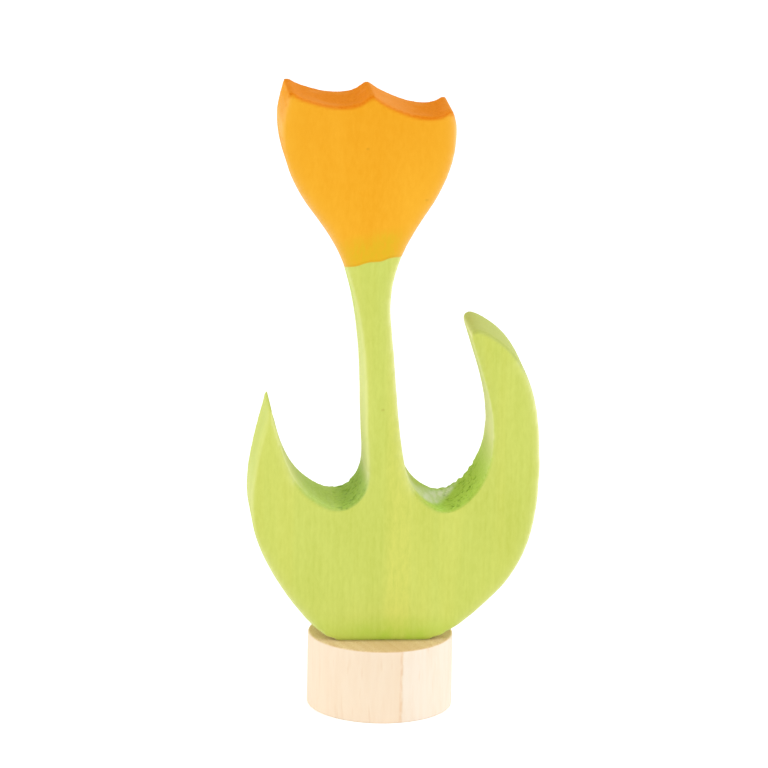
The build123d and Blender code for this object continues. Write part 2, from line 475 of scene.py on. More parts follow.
# %% [markdown]
# ## Where sandpaper thinned the stain, with a painted highlight
# A last rub with fine paper takes a little stain off every arris that a hand can reach, so the
# outline of leaves, stem and flower is a touch paler. The floors of the gaps, the scallops and
# the arris under the foot stay as they were. The arrises that turn to the right or down are made
# lighter than those on the left, and that is a painted highlight from the right light and the
# white table. A noise pattern can't know where an edge is, so each vertex measures how far it is
# from the nearest rubbed arris. A wider fade from the same edges lightens the orange.

# %% Measure how far each place is from a rubbed arris
RUB_REACH = 0.38
RIM_REACH = 3.5
LEFT_RUB = 0.2
LEFT_TIP_SPARED = 0.6
FOOT_SPARED_TO = 12.5

rubbed_and_lit = (facing > 0.15) & (facing < 0.6) & (upward < 0.45) & (z > FOOT_SPARED_TO)
arris_tree = kdtree.KDTree(int(rubbed_and_lit.sum()))
for index in np.flatnonzero(rubbed_and_lit):
    arris_tree.insert(places[index], int(index))
arris_tree.balance()
found = [arris_tree.find(place)[1:] for place in places]
nearest = np.array([index for index, reach in found])
from_arris = np.array([reach for index, reach in found])
# painted highlight: arrises that turn right or down get the larger share
to_right = soft_step(aside[nearest], -0.35, 0.1)
downward = soft_step(-upward[nearest], 0.2, 0.45)
rub_and_light = LEFT_RUB + (1 - LEFT_RUB) * np.maximum(to_right, downward)
rub_and_light *= 1 - LEFT_TIP_SPARED * to_left_tip
paint(board, "rubbed_and_lit", rub_and_light * np.exp(-from_arris / RUB_REACH))
paint(board, "near_rim", np.exp(-from_arris / RIM_REACH))
print("rubbed arrises on", int(rubbed_and_lit.sum()), "vertices")

# %% [markdown]
# ## Saw marks and torn pits
# A saw blade never runs quite straight, so all sawn sides waver by a few hundredths of a
# millimetre. In the torn places small bundles of fibre are gone: each is a cell of a Voronoi
# pattern, and only some cells have the bad luck to be pulled out. On the far arris splinters
# stand up. All of it is pushed along the normals, so it shows in the outline too, which a bump
# pattern can't do. The noise that bends the pits starts from the clock unless it is given a
# seed, so it gets one, and every run tears the same fibres.

# %% Push in saw marks and torn pits
PIT_SEED = 1
PIT_SIZES = ((1.1, 0.26), (0.55, 0.12))
PIT_NARROW = 1.7
PIT_WARP_SIZE = 0.8
PIT_WARP = 0.35
LUCK_SPREAD = 7.3
PIT_STAIN_AND_SHADE = 0.9
CORNER_SHADE = 0.28
WALL_CALM = 0.75
WAVER_LENGTH = 2.6
WAVER_DEPTH = 0.035
SPLINTER_LENGTH = 0.7
SPLINTER_HEIGHT = 0.3
SPLINTER_LIMIT = 0.25

noise.seed_set(PIT_SEED)
push = np.zeros(len(places))
pit_and_corner_shade = CORNER_SHADE * shade_by_stem
for index in np.flatnonzero(sawn > 0.02):
    px, py, pz = places[index]
    waver = noise.noise(Vector((px / WAVER_LENGTH, 0.08 * py, pz / WAVER_LENGTH)))
    push[index] = sawn[index] * WAVER_DEPTH * waver
for index in np.flatnonzero(torn > 0.02):
    spot = Vector(places[index])
    warp = noise.noise_vector(spot / PIT_WARP_SIZE) * PIT_WARP
    on_floor = 1 - WALL_CALM * soft_step(spot.z, 31.2, 33.6)
    for size, depth in PIT_SIZES:
        near_spot = (spot + warp) / size
        near_spot.y *= PIT_NARROW
        reaches, middles = noise.voronoi(near_spot)
        luck = max(0.0, noise.cell(middles[0] * LUCK_SPREAD))
        pit = on_floor * luck * (1 - soft_step(reaches[0], 0.12, 0.52))
        # the pits are darkened in colour too: partly their own darker colour, partly painted shade
        # in the pits
        pit_and_corner_shade[index] += PIT_STAIN_AND_SHADE * torn[index] * pit
        push[index] -= torn[index] * depth * pit
    far_edge = soft_step(from_middle[index], 4.2, 5.6)
    splinter = noise.noise(Vector((spot.x, 0.2 * spot.y, spot.z)) / SPLINTER_LENGTH)
    push[index] += torn[index] * far_edge * SPLINTER_HEIGHT * min(SPLINTER_LIMIT, splinter)
paint(board, "pit_and_corner_shade", np.clip(pit_and_corner_shade, 0, 1))
move_vertices(board, places + normals * push[:, None])
take_up(board)
bpy.ops.object.shade_smooth()
print("deepest pit:", round(-push.min(), 2), "mm")

# %% [markdown]
# ## The plug
# The plug is a slice sawn off a round rod, 20 mm across, with a blind hole in the top for the
# dowel. A cylinder at the size of the CAD node is the start. Its top is inset to the hole's
# radius, and the inner disc is pushed down to make the hole. A Boolean cut would do it too, but
# it leaves a top of many-sided faces that bevel badly.

# %% Turn the plug and drill it
PLUG_SIDES = 160
HOLE_RADIUS = 3.05
PLUG_FLOOR = 2.7


def start_selecting(kind):
    bpy.ops.object.mode_set(mode="EDIT")
    bpy.ops.mesh.select_mode(type=kind)
    bpy.ops.mesh.select_all(action="DESELECT")
    bpy.ops.object.mode_set(mode="OBJECT")


plug_low, plug_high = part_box("base_plug")
plug_radius = (plug_high.x - plug_low.x) / 2
plug_height = plug_high.z - plug_low.z
bpy.ops.object.select_all(action="DESELECT")
bpy.ops.mesh.primitive_cylinder_add(vertices=PLUG_SIDES, radius=plug_radius, depth=plug_height,
                                    location=(0, 0, plug_height / 2))
plug = bpy.context.active_object
plug.name = "bare_plug"
bpy.ops.object.transform_apply(location=True, rotation=True, scale=True)

start_selecting("FACE")
for face in plug.data.polygons:
    face.select = face.normal.z > 0.9
bpy.ops.object.mode_set(mode="EDIT")
bpy.ops.mesh.inset(thickness=plug_radius - HOLE_RADIUS * MM, depth=0)
bpy.ops.mesh.extrude_region_move(
    TRANSFORM_OT_translate={"value": (0, 0, PLUG_FLOOR * MM - plug_height)})
bpy.ops.object.mode_set(mode="OBJECT")
print("plug:", round(2 * plug_radius / MM, 2), "mm across,", round(plug_height / MM, 2), "mm tall")

# %% [markdown]
# Sanded rims are rounded, more at the top than under the foot, and a bevel with a few segments
# gives that round. The side is then divided from bottom to top, so that it has vertices that
# can move.

# %% Ease its rims and divide its side
TOP_EASE = 0.35
FOOT_EASE = 0.15
SIDE_CUTS = 11


def select_edges(piece, wanted):
    start_selecting("EDGE")
    spots = piece.data.vertices
    for edge in piece.data.edges:
        first, second = (spots[end].co for end in edge.vertices)
        edge.select = wanted(first, second)
    bpy.ops.object.mode_set(mode="EDIT")


def on_rim(height):
    def at_rim(end):
        return abs(end.z - height) < 1e-6 and end.xy.length > 0.99 * plug_radius
    return lambda first, second: at_rim(first) and at_rim(second)


def up_the_side(first, second):
    return abs(first.z - second.z) > plug_height / 2 and first.xy.length > 0.9 * plug_radius


select_edges(plug, on_rim(plug_height))
bpy.ops.mesh.bevel(offset=TOP_EASE * MM, segments=5, affect="EDGES")
select_edges(plug, on_rim(0.0))
bpy.ops.mesh.bevel(offset=FOOT_EASE * MM, segments=6, affect="EDGES")
select_edges(plug, up_the_side)
bpy.ops.mesh.subdivide(number_cuts=SIDE_CUTS)
bpy.ops.mesh.select_all(action="SELECT")
bpy.ops.mesh.remove_doubles(threshold=WELD * MM)
bpy.ops.object.mode_set(mode="OBJECT")
print("plug:", len(plug.data.polygons), "faces, rims eased by", TOP_EASE, "and", FOOT_EASE, "mm")

# %% [markdown]
# Sanded rod is never perfectly round. Slow noise, longer along the grain than across it, takes
# up to five hundredths of a millimetre off, so the light slides unevenly along the side.

# %% Make the rod a little less than round
ROD_WAVER = 0.025
ROD_WAVER_WIDE = 4
ROD_WAVER_TALL = 14
SMOOTH_ANGLE = 0.6

places = vertex_places(plug)
outward = places * (1, 1, 0)
from_axis = np.linalg.norm(outward, axis=1)
for index in np.flatnonzero(from_axis > 0.9 * plug_radius / MM):
    px, py, pz = places[index]
    waver = noise.noise(Vector((px / ROD_WAVER_WIDE, py / ROD_WAVER_WIDE, pz / ROD_WAVER_TALL)))
    places[index] += outward[index] / from_axis[index] * (ROD_WAVER * waver - ROD_WAVER)
move_vertices(plug, places)
take_up(plug)
bpy.ops.object.shade_smooth_by_angle(angle=SMOOTH_ANGLE)
print("rod out of round by up to", 2 * ROD_WAVER, "mm")

# %% [markdown]
# ## Colours and nodes
# Colours are written as they look on a screen, in hex, and one function turns them into the
# linear numbers that the shader counts in. One more function adds a node, sets it and links
# it. A list gives the node's inputs from the top down: a Math node takes its numbers, and a Map
# Range takes a value, the two ends of its range and the two ends of what that becomes. Where
# only some inputs are set they are called by name, or by place: a Mix of colours has its share
# at 0 and its two colours at 6 and 7.

# %% The two helpers
MATH = "ShaderNodeMath"
RANGE = "ShaderNodeMapRange"
MIX = "ShaderNodeMix"
TIMES = {"operation": "MULTIPLY"}
TIMES_PLUS = {"operation": "MULTIPLY_ADD"}
MINUS = {"operation": "SUBTRACT"}
LARGER = {"operation": "MAXIMUM"}
WITHOUT_SIGN = {"operation": "ABSOLUTE"}
STRAIGHT = {"interpolation_type": "LINEAR"}
SMOOTH = {"interpolation_type": "SMOOTHSTEP"}
COLOURS = {"data_type": "RGBA"}


def linear(hex_colour):
    parts = [int(hex_colour[i:i + 2], 16) / 255 for i in (1, 3, 5)]
    bent = [part / 12.92 if part <= 0.04045 else ((part + 0.055) / 1.055) ** 2.4 for part in parts]
    return (*bent, 1.0)


def add(tree, kind, settings=(), inputs=()):
    made = tree.nodes.new(kind)
    for name, value in dict(settings).items():
        setattr(made, name, value)
    placed = inputs if isinstance(inputs, dict) else dict(enumerate(inputs))
    for place, value in placed.items():
        socket = made.inputs[place]
        if isinstance(value, bpy.types.Node):
            value = next(output for output in value.outputs if output.enabled)
        if isinstance(value, bpy.types.NodeSocket):
            tree.links.new(value, socket)
        else:
            socket.default_value = value
    return made


print("middle grey, #808080, is", round(linear("#808080")[0], 3), "in linear numbers")

# %% [markdown]
# ## Lime wood, stained green and orange and thinly oiled
# Lime is a pale, even wood with fine upright fibres and hardly any figure. A thin water stain
# lets them show as faint streaks. Three noises make the grain: short flecks, long fibres and
# slow clouds, all stretched upwards. Each is given its size along X, Y and Z, then how detailed
# and how rough it is. A single fibre is too fine to show in the render, so the marks are drawn
# as coarse as bundles of them. An image could hold all this, but it would fit one side only.
# Noise that is stretched along the grain runs through the board as fibres do, so the edges and
# the back agree with the front.

# %% Grain of the lime wood
GRAIN_SIZES = {"flecks": ((0.5, 0.5, 1.4), 4.0, 0.7),
               "fibres": ((0.45, 0.45, 10.0), 1.0, 0.5),
               "clouds": ((5.0, 5.0, 22.0), 1.0, 0.5)}
PAINTED = ("end_grain_and_shade", "tip_sheen_and_shade", "arris", "lit_scallop_sides", "torn", "painted_sheen", "side_sheen_and_light", "rubbed_and_lit",
           "near_rim", "pit_and_corner_shade")


def empty_tree(owner):
    owner.use_nodes = True
    owner.node_tree.nodes.clear()
    return owner.node_tree


def lay_patterns(tree, here, patterns):
    laid = {}
    for name, (sizes, detail, roughness) in patterns.items():
        per_metre = [1 / (size * MM) for size in sizes]
        spread = add(tree, "ShaderNodeMapping", (), {"Vector": here, "Scale": per_metre})
        inputs = {"Vector": spread, "Scale": 1.0, "Detail": detail, "Roughness": roughness}
        laid[name] = add(tree, "ShaderNodeTexNoise", (), inputs)
        print(name, "of", sizes, "mm")
    return laid


lime = bpy.data.materials.new("stained_oiled_lime_wood")
tree = empty_tree(lime)
here = add(tree, "ShaderNodeTexCoord").outputs["Object"]
spot = add(tree, "ShaderNodeSeparateXYZ", (), [here]).outputs
painted = {}
for name in PAINTED:
    painted[name] = add(tree, "ShaderNodeAttribute", {"attribute_name": name}).outputs["Fac"]
grain = lay_patterns(tree, here, GRAIN_SIZES)
fine = add(tree, MATH, TIMES_PLUS, [grain["fibres"], 0.5, grain["flecks"]])
tone = add(tree, MATH, TIMES_PLUS, [grain["clouds"], 0.8, fine])
streak = add(tree, RANGE, STRAIGHT, [tone, 0.6, 1.7])

# %% [markdown]
# Green went on first, over the whole board. Lime shows slow bands where the years differ, and
# the warmest one runs up beside the plug's axis. Near the foot the wet stain ran down and
# gathered, so the green is deeper there, in uneven patches and most around the middle.

# %% The green stain, deeper at the foot
HEART_PLACE = 1.9
GATHERED_TO = 14.6
BAND_SIZES = {"bands": ((3.4, 3.4, 70.0), 2.0, 0.5), "patches": ((2.4, 2.4, 3.2), 3.0, 0.5)}

grain |= lay_patterns(tree, here, BAND_SIZES)
green = add(tree, MIX, COLOURS, {0: streak, 6: linear("#C2CC5A"), 7: linear("#D6DF74")})
warm_green = add(tree, MIX, COLOURS, {0: streak, 6: linear("#CFD15A"), 7: linear("#E2E374")})
warm = add(tree, RANGE, SMOOTH, [grain["bands"], 0.45, 0.7, 0.0, 0.28])
right_of_heart = add(tree, MATH, MINUS, [spot["X"], HEART_PLACE * MM])
from_heart = add(tree, MATH, WITHOUT_SIGN, [right_of_heart])
at_heart = add(tree, RANGE, SMOOTH, [from_heart, 0.9 * MM, 2.6 * MM, 1.0, 0.0])
heart = add(tree, MATH, TIMES, [at_heart, streak])
warmest = add(tree, MATH, LARGER, [warm, heart])
green = add(tree, MIX, COLOURS, {0: warmest, 6: green, 7: warm_green})

near_foot = add(tree, RANGE, SMOOTH, [spot["Z"], 10.2 * MM, GATHERED_TO * MM, 1.0, 0.0])
uneven = add(tree, RANGE, SMOOTH, [grain["patches"], 0.3, 0.62, 0.6, 1.0])
inward = add(tree, RANGE, SMOOTH, [from_heart, 1.0 * MM, 9.0 * MM, 1.0, 0.3])
gathered = add(tree, MATH, TIMES, [uneven, inward])
foot_share = add(tree, MATH, TIMES, [near_foot, gathered])
green = add(tree, MIX, COLOURS, {0: foot_share, 6: green, 7: linear("#B2D14A")})
print("green: warmest", HEART_PLACE, "mm right of the axis, deeper below", GATHERED_TO, "mm")

# %% [markdown]
# The flower was dipped after the green had dried. Its orange is made a little deeper towards the
# top, which is painted shade against the light from the sky above, and lighter near the rubbed
# rims. It ends in a line that slants up to the right and is slightly wavy, as the edge of a liquid
# is. A height that is tilted, waved and roughened with noise says on which side of that line a
# place lies.

# %% The orange stain and the line where it ends
LINE_HEIGHT = 63.64
LINE_SLOPE = 0.215
WAVE_LENGTH = 3.2
WAVE_PLACE = -3.1
WAVE_HEIGHT = 0.08
WANDER_HEIGHT = 0.4
WANDER_SIZES = {"wander": ((2.6, 2.6, 7.0), 2.0, 0.5)}
FULL_TURN = 6.2832

calm = add(tree, MATH, TIMES_PLUS, [grain["clouds"], 0.9, grain["flecks"]])
calm_tone = add(tree, RANGE, STRAIGHT, [calm, 0.5, 1.4])
orange = add(tree, MIX, COLOURS, {0: calm_tone, 6: linear("#EB9F14"), 7: linear("#F9B630")})
# painted shade: the orange is deepened towards the top of the flower
top_shade_share = add(tree, RANGE, SMOOTH, [spot["Z"], 68.0 * MM, 86.0 * MM, 0.0, 0.35])
orange = add(tree, MIX, COLOURS, {0: top_shade_share, 6: orange, 7: linear("#EA9C1C")})
rim_share = add(tree, MATH, TIMES, [painted["near_rim"], 0.45])
orange = add(tree, MIX, COLOURS, {0: rim_share, 6: orange, 7: linear("#FBBF3C")})

grain |= lay_patterns(tree, here, WANDER_SIZES)
tilted = add(tree, MATH, TIMES_PLUS, [spot["X"], -LINE_SLOPE, spot["Z"]])
wave_turns = FULL_TURN / (WAVE_LENGTH * MM)
wave_start = -FULL_TURN * WAVE_PLACE / WAVE_LENGTH
turned = add(tree, MATH, TIMES_PLUS, [spot["X"], wave_turns, wave_start])
wave = add(tree, MATH, {"operation": "COSINE"}, [turned])
waved = add(tree, MATH, TIMES_PLUS, [wave, -WAVE_HEIGHT * MM, tilted])
wavy = add(tree, MATH, TIMES_PLUS, [grain["wander"], -WANDER_HEIGHT * MM, waved])
above = add(tree, MATH, MINUS, [wavy, (LINE_HEIGHT - WANDER_HEIGHT / 2) * MM])
is_orange = add(tree, RANGE, SMOOTH, [above, -0.08 * MM, 0.14 * MM])
print("orange ends about", LINE_HEIGHT, "mm up, rising", LINE_SLOPE, "mm per mm to the right")

# %% [markdown]
# Where the orange covers the green it turns mustard. The green reaches up a few millimetres in
# a ragged, mottled patch that is fullest in the middle and thins out to both sides. Right at
# the line the drying orange left a darker tide mark.

# %% The overlap and the tide mark
RAGGED_HEIGHT = 2.2

ragged_top = add(tree, MATH, TIMES_PLUS, [grain["patches"], RAGGED_HEIGHT * MM, above])
overlap = add(tree, RANGE, SMOOTH, [ragged_top, 3.0 * MM, 6.0 * MM, 1.0, 0.0])
from_left = add(tree, RANGE, SMOOTH, [spot["X"], -6.6 * MM, -3.6 * MM, 0.6, 1.0])
to_right_side = add(tree, RANGE, SMOOTH, [spot["X"], -0.2 * MM, 2.6 * MM, 1.0, 0.2])
mottle = add(tree, RANGE, SMOOTH, [grain["flecks"], 0.3, 0.6, 0.45, 1.0])
for share in (from_left, to_right_side, mottle):
    overlap = add(tree, MATH, TIMES, [overlap, share])
orange = add(tree, MIX, COLOURS, {0: overlap, 6: orange, 7: linear("#E5B726")})
tide = add(tree, RANGE, SMOOTH, [above, 0.5 * MM, 0.1 * MM, 0.0, 0.4])
orange = add(tree, MIX, COLOURS, {0: tide, 6: orange, 7: linear("#D29A1C")})
face_colour = add(tree, MIX, COLOURS, {0: is_orange, 6: green, 7: orange})
print("stain of the face:", len(tree.nodes), "nodes so far")

# %% [markdown]
# The sides and the end grain take the stains in their own way. They are blended over the face's
# colour by the shares that were measured on the mesh: first the painted sheen and light of the
# upright sides, then the rubbed arrises with their painted highlight, then the end grain, which
# is deeper and shows its pores as fine dots. Real pores are smaller than a pixel, so these are
# drawn as coarse as they need to be to show.

# %% Painted sheen on the sides, rubbed and lit arrises, and end grain
PORE_SIZES = {"pores": ((0.35, 0.35, 0.35), 2.0, 0.7), "thin places": ((3.6, 3.6, 3.6), 1.0, 0.5)}

# painted sheen and light on the upright sides
side_sheen_share = add(tree, MATH, TIMES, [painted["side_sheen_and_light"], 0.4])
side_sheen_tint = add(tree, MIX, COLOURS, {0: is_orange, 6: linear("#F6F6BE"), 7: linear("#F8C268")})
side_colour = add(tree, MIX, COLOURS, {0: side_sheen_share, 6: face_colour, 7: side_sheen_tint})
# thinner stain and painted highlight on the rubbed arrises
rub_and_light_share = add(tree, MATH, TIMES, [painted["rubbed_and_lit"], 0.5])
rub_and_light_tint = add(tree, MIX, COLOURS, {0: is_orange, 6: linear("#F6F6BE"), 7: linear("#FBD29A")})
side_colour = add(tree, MIX, COLOURS, {0: rub_and_light_share, 6: side_colour, 7: rub_and_light_tint})

grain |= lay_patterns(tree, here, PORE_SIZES)
pore_tone = add(tree, RANGE, STRAIGHT, [grain["pores"], 0.35, 0.65])
green_end = add(tree, MIX, COLOURS, {0: pore_tone, 6: linear("#A9D052"), 7: linear("#C0E270")})
orange_end = add(tree, MIX, COLOURS, {0: pore_tone, 6: linear("#E6820C"), 7: linear("#F1921E")})
thinner = add(tree, RANGE, SMOOTH, [grain["thin places"], 0.42, 0.68, 0.0, 0.2])
# painted highlight on the right-facing scallop sides, plus thin places in the orange stain
highlight_and_thin_share = add(tree, MATH, TIMES_PLUS, [painted["lit_scallop_sides"], 0.38, thinner])
orange_end = add(tree, MIX, COLOURS, {0: highlight_and_thin_share, 6: orange_end, 7: linear("#F7AC5A")})
end_colour = add(tree, MIX, COLOURS, {0: is_orange, 6: green_end, 7: orange_end})
wood_colour = add(tree, MIX, COLOURS, {0: painted["end_grain_and_shade"], 6: side_colour, 7: end_colour})

# %% [markdown]
# Last come the tip and the torn places. The tip is greyed with painted sheen and shade. The torn
# places are brighter around the pits and dark inside them, partly painted shade. The painted
# sheen on the gap floors is streaked from front to back. The crisp arrises are multiplied with a
# tint, which draws a darker line along them.

# %% Torn fibres, painted sheen and arrises
SHEEN_STREAK_SIZES = {"strokes": ((0.7, 2.8, 0.7), 2.0, 0.5)}
TORN_TINTS = (("tip_sheen_and_shade", 0.4, "#B6BB7C"), ("torn", 0.6, "#B0CC50"), ("pit_and_corner_shade", 1.0, "#5C841E"))
DARKENING = {"data_type": "RGBA", "blend_type": "MULTIPLY"}

for name, strength, tint in TORN_TINTS:
    share = add(tree, MATH, TIMES, [painted[name], strength])
    wood_colour = add(tree, MIX, COLOURS, {0: share, 6: wood_colour, 7: linear(tint)})
grain |= lay_patterns(tree, here, SHEEN_STREAK_SIZES)
# painted sheen on the gap floors, streaked from front to back
sheen_streak_tone = add(tree, RANGE, SMOOTH, [grain["strokes"], 0.36, 0.66, 0.55, 1.0])
sheen_share = add(tree, MATH, TIMES, [sheen_streak_tone, painted["painted_sheen"]])
wood_colour = add(tree, MIX, COLOURS, {0: sheen_share, 6: wood_colour, 7: linear("#E6EED2")})
arris_tint = add(tree, MIX, COLOURS, {0: is_orange, 6: linear("#DDE2C8"), 7: linear("#F2DAB4")})
wood_colour = add(tree, MIX, DARKENING, {0: painted["arris"], 6: wood_colour, 7: arris_tint})

# %% [markdown]
# A few short dark fibres show faintly through the stain on the front. They are single things at
# known places, so each is a small ellipse around its own X and Z and not part of a noise.

# %% A few dark flecks
FLECKS = ((-3.26, 78.65), (4.77, 71.72), (-0.61, 42.75), (-14.8, 39.53))
FLECK_WIDTH = 0.36
FLECK_HEIGHT = 0.26
FLECK_STRENGTH = 0.16

flecked = 0.0
for fleck_x, fleck_z in FLECKS:
    shrink = (1 / (FLECK_WIDTH * MM), 1 / (FLECK_WIDTH * MM), 1 / (FLECK_HEIGHT * MM))
    centre = (-fleck_x / FLECK_WIDTH, -board_low.y / FLECK_WIDTH, -fleck_z / FLECK_HEIGHT)
    placing = {"Vector": here, "Scale": shrink, "Location": centre}
    placed = add(tree, "ShaderNodeMapping", (), placing)
    away = add(tree, "ShaderNodeVectorMath", {"operation": "LENGTH"}, [placed])
    fleck = add(tree, RANGE, SMOOTH, [away, 1.0, 0.3])
    flecked = add(tree, MATH, LARGER, [flecked, fleck])
fleck_share = add(tree, MATH, TIMES, [flecked, FLECK_STRENGTH])
wood_colour = add(tree, MIX, COLOURS, {0: fleck_share, 6: wood_colour, 7: linear("#8E5400")})
print(len(FLECKS), "flecks,", FLECK_WIDTH, "by", FLECK_HEIGHT, "mm from middle to edge")

# %% [markdown]
# Water raises the fibres, and a thin coat of oil leaves a faint sheen on the face, while end
# grain stays matt. The same function finishes the bare beech later: it raises the fibres on
# the side and the pores on the end grain by a bump, which is enough for relief this fine.

# %% Gloss and raised grain
RELIEF = 0.05


def finish_wood(wood, colour, is_end, side_relief, end_relief, bump, matt, index, sheen):
    tree = wood.node_tree
    raised = add(tree, MIX, {"data_type": "FLOAT"}, {0: is_end, 2: side_relief, 3: end_relief})
    inputs = {"Strength": bump, "Distance": RELIEF * MM, "Height": raised}
    bumped = add(tree, "ShaderNodeBump", (), inputs)
    roughness = add(tree, RANGE, STRAIGHT, [is_end, 0.0, 1.0, *matt])
    inputs = {"Base Color": colour, "Roughness": roughness, "IOR": index,
              "Specular IOR Level": sheen, "Normal": bumped}
    surface = add(tree, "ShaderNodeBsdfPrincipled", (), inputs)
    add(tree, "ShaderNodeOutputMaterial", (), {"Surface": surface})
    print(wood.name, "has", len(tree.nodes), "nodes")


finish_wood(lime, wood_colour, painted["end_grain_and_shade"], grain["flecks"], grain["pores"],
            bump=0.35, matt=(0.6, 0.9), index=1.47, sheen=0.05)
board.data.materials.append(lime)

# %% [markdown]
# ## Bare beech
# The rod is beech, sanded and left bare. Along its side it shows fine upright lines, small
# darker flecks and one marked growth ring, which is a tan line where the year's dense wood
# ends. On top the same rings are cut across. The rings are almost flat planes at this size,
# so one slanted coordinate through the plug, bent a little by noise, serves side and top.

# %% Distance from the marked growth ring
BEECH_SIZES = {"bend": ((2.2, 2.2, 7.0), 2.0, 0.5),
               "lines": ((0.9, 0.9, 7.0), 3.0, 0.6),
               "rays": ((0.6, 0.6, 4.5), 1.0, 0.5),
               "dots": ((0.6, 0.6, 1.3), 2.0, 0.5),
               "pores": ((0.25, 0.25, 0.25), 2.0, 0.7)}
RING_DIRECTION = (0.935, 0.355, 0.0)
STRONG_RING = -1.46
RING_BEND = 0.5


def past_ring(tree, here, grain):
    flat = add(tree, "ShaderNodeVectorMath", {"operation": "DOT_PRODUCT"}, [here, RING_DIRECTION])
    bent = add(tree, MATH, TIMES_PLUS, [grain["bend"], RING_BEND * MM, flat])
    return add(tree, MATH, MINUS, [bent, (STRONG_RING + RING_BEND / 2) * MM])


print("marked ring", abs(STRONG_RING), "mm to the left of the plug's axis")

# %% [markdown]
# On the side, the wood before the ring is the denser, later wood of its year and gets darker up
# to the line, and the wood after it is the pale early wood of the next. Fine lines and short
# rays run up over both, and the ring's own line is broken into dots.

# %% Side of the beech
def beech_side(tree, grain, ring, on_line, tints):
    late, early, line, dots = (linear(tints[name]) for name in ("late", "early", "line", "dots"))
    dense = add(tree, RANGE, SMOOTH, [ring, -2.2 * MM, -0.1 * MM, 0.0, 0.2])
    newer = add(tree, RANGE, SMOOTH, [ring, 0.0, 0.25 * MM])
    lines = add(tree, RANGE, STRAIGHT, [grain["lines"], 0.42, 0.72, 0.0, 0.32])
    rays = add(tree, RANGE, SMOOTH, [grain["rays"], 0.62, 0.8, 0.0, 0.6])
    broken = add(tree, RANGE, SMOOTH, [grain["dots"], 0.36, 0.64, 0.1, 0.6])
    dotted = add(tree, MATH, TIMES, [on_line, broken])
    colour = late
    for share, tint in ((dense, line), (newer, early), (lines, line), (rays, line), (dotted, dots)):
        colour = add(tree, MIX, COLOURS, {0: share, 6: colour, 7: tint})
    return colour


print("side of the beech: a year's late and early wood, lines, rays and a dotted ring")

# %% [markdown]
# On the end grain the pores are fine dots, drawn coarser than real ones so that they show. The
# weaker rings are faint waves, and the wood is darker around the marked ring. Just in front of
# the board's foot the top is darkened to olive: a painted contact shadow, tinted green by light
# from the board. The hidden dowel has none of that.

# %% End grain of the beech
RING_SPACING = 1.7
RING_STRENGTH = 0.06
CONTACT_SHADOW_REACH = 0.9


def beech_end(tree, here, grain, ring, off_ring, on_line, tints, contact_shadow_share):
    light, dark = linear(tints["end_light"]), linear(tints["end_dark"])
    turned = add(tree, MATH, TIMES, [ring, FULL_TURN / (RING_SPACING * MM)])
    waves = add(tree, MATH, {"operation": "SINE"}, [turned])
    ringed = add(tree, MATH, TIMES_PLUS, [waves, RING_STRENGTH, grain["pores"]])
    end_tone = add(tree, RANGE, STRAIGHT, [ringed, 0.3, 0.7])
    near_ring = add(tree, RANGE, SMOOTH, [off_ring, 6.5 * MM, 0.0, 0.0, 0.6])
    darker = add(tree, MATH, LARGER, [on_line, near_ring])
    spot = add(tree, "ShaderNodeSeparateXYZ", (), [here]).outputs
    # painted contact shadow: olive on the plug's top just in front of the board's foot
    contact_shadow_from = (board_low.y - CONTACT_SHADOW_REACH) * MM
    to_board = add(tree, RANGE, SMOOTH, [spot["Y"], contact_shadow_from, board_low.y * MM])
    beside = add(tree, MATH, WITHOUT_SIGN, [spot["X"]])
    at_foot = add(tree, RANGE, SMOOTH, [beside, 5.5 * MM, 7.5 * MM, contact_shadow_share, 0.0])
    contact_shadow = add(tree, MATH, TIMES, [to_board, at_foot])
    colour = dark
    for share, tint in ((end_tone, light), (darker, dark), (contact_shadow, linear("#9A8A3C"))):
        colour = add(tree, MIX, COLOURS, {0: share, 6: colour, 7: tint})
    return colour


print("end grain of the beech: rings every", RING_SPACING, "mm, stain crept", CONTACT_SHADOW_REACH, "mm")

# %% [markdown]
# Whether a place is side or end grain is read from its normal: end grain looks up or down. The
# plug is pale, freshly sanded beech. The dowel is bought rod, a little browner, and keeps the
# mesh of its CAD node, because it is hidden inside the other two pieces.

# %% Beech for the plug and the dowel
PLUG_TINTS = {"early": "#F6E8D7", "late": "#F7E3CA", "line": "#EFD4B5", "dots": "#E6C099",
              "end_light": "#F3D8AC", "end_dark": "#DDBA87"}
DOWEL_TINTS = {"early": "#F0D9B8", "late": "#E8CDA6", "line": "#D4B084", "dots": "#C39C64",
               "end_light": "#DDBE8C", "end_dark": "#C39C64"}


def bare_beech(name, tints, contact_shadow_share):
    beech = bpy.data.materials.new(name)
    tree = empty_tree(beech)
    coords = add(tree, "ShaderNodeTexCoord").outputs
    here = coords["Object"]
    grain = lay_patterns(tree, here, BEECH_SIZES)
    ring = past_ring(tree, here, grain)
    off_ring = add(tree, MATH, WITHOUT_SIGN, [ring])
    on_line = add(tree, RANGE, SMOOTH, [off_ring, 0.4 * MM, 0.0])
    side = beech_side(tree, grain, ring, on_line, tints)
    end = beech_end(tree, here, grain, ring, off_ring, on_line, tints, contact_shadow_share)
    facing = add(tree, "ShaderNodeSeparateXYZ", (), [coords["Normal"]]).outputs
    upright = add(tree, MATH, WITHOUT_SIGN, [facing["Z"]])
    is_end = add(tree, RANGE, SMOOTH, [upright, 0.45, 0.9])
    colour = add(tree, MIX, COLOURS, {0: is_end, 6: side, 7: end})
    finish_wood(beech, colour, is_end, grain["lines"], grain["pores"], bump=0.3,
                matt=(0.55, 0.75), index=1.45, sheen=0.3)
    return beech


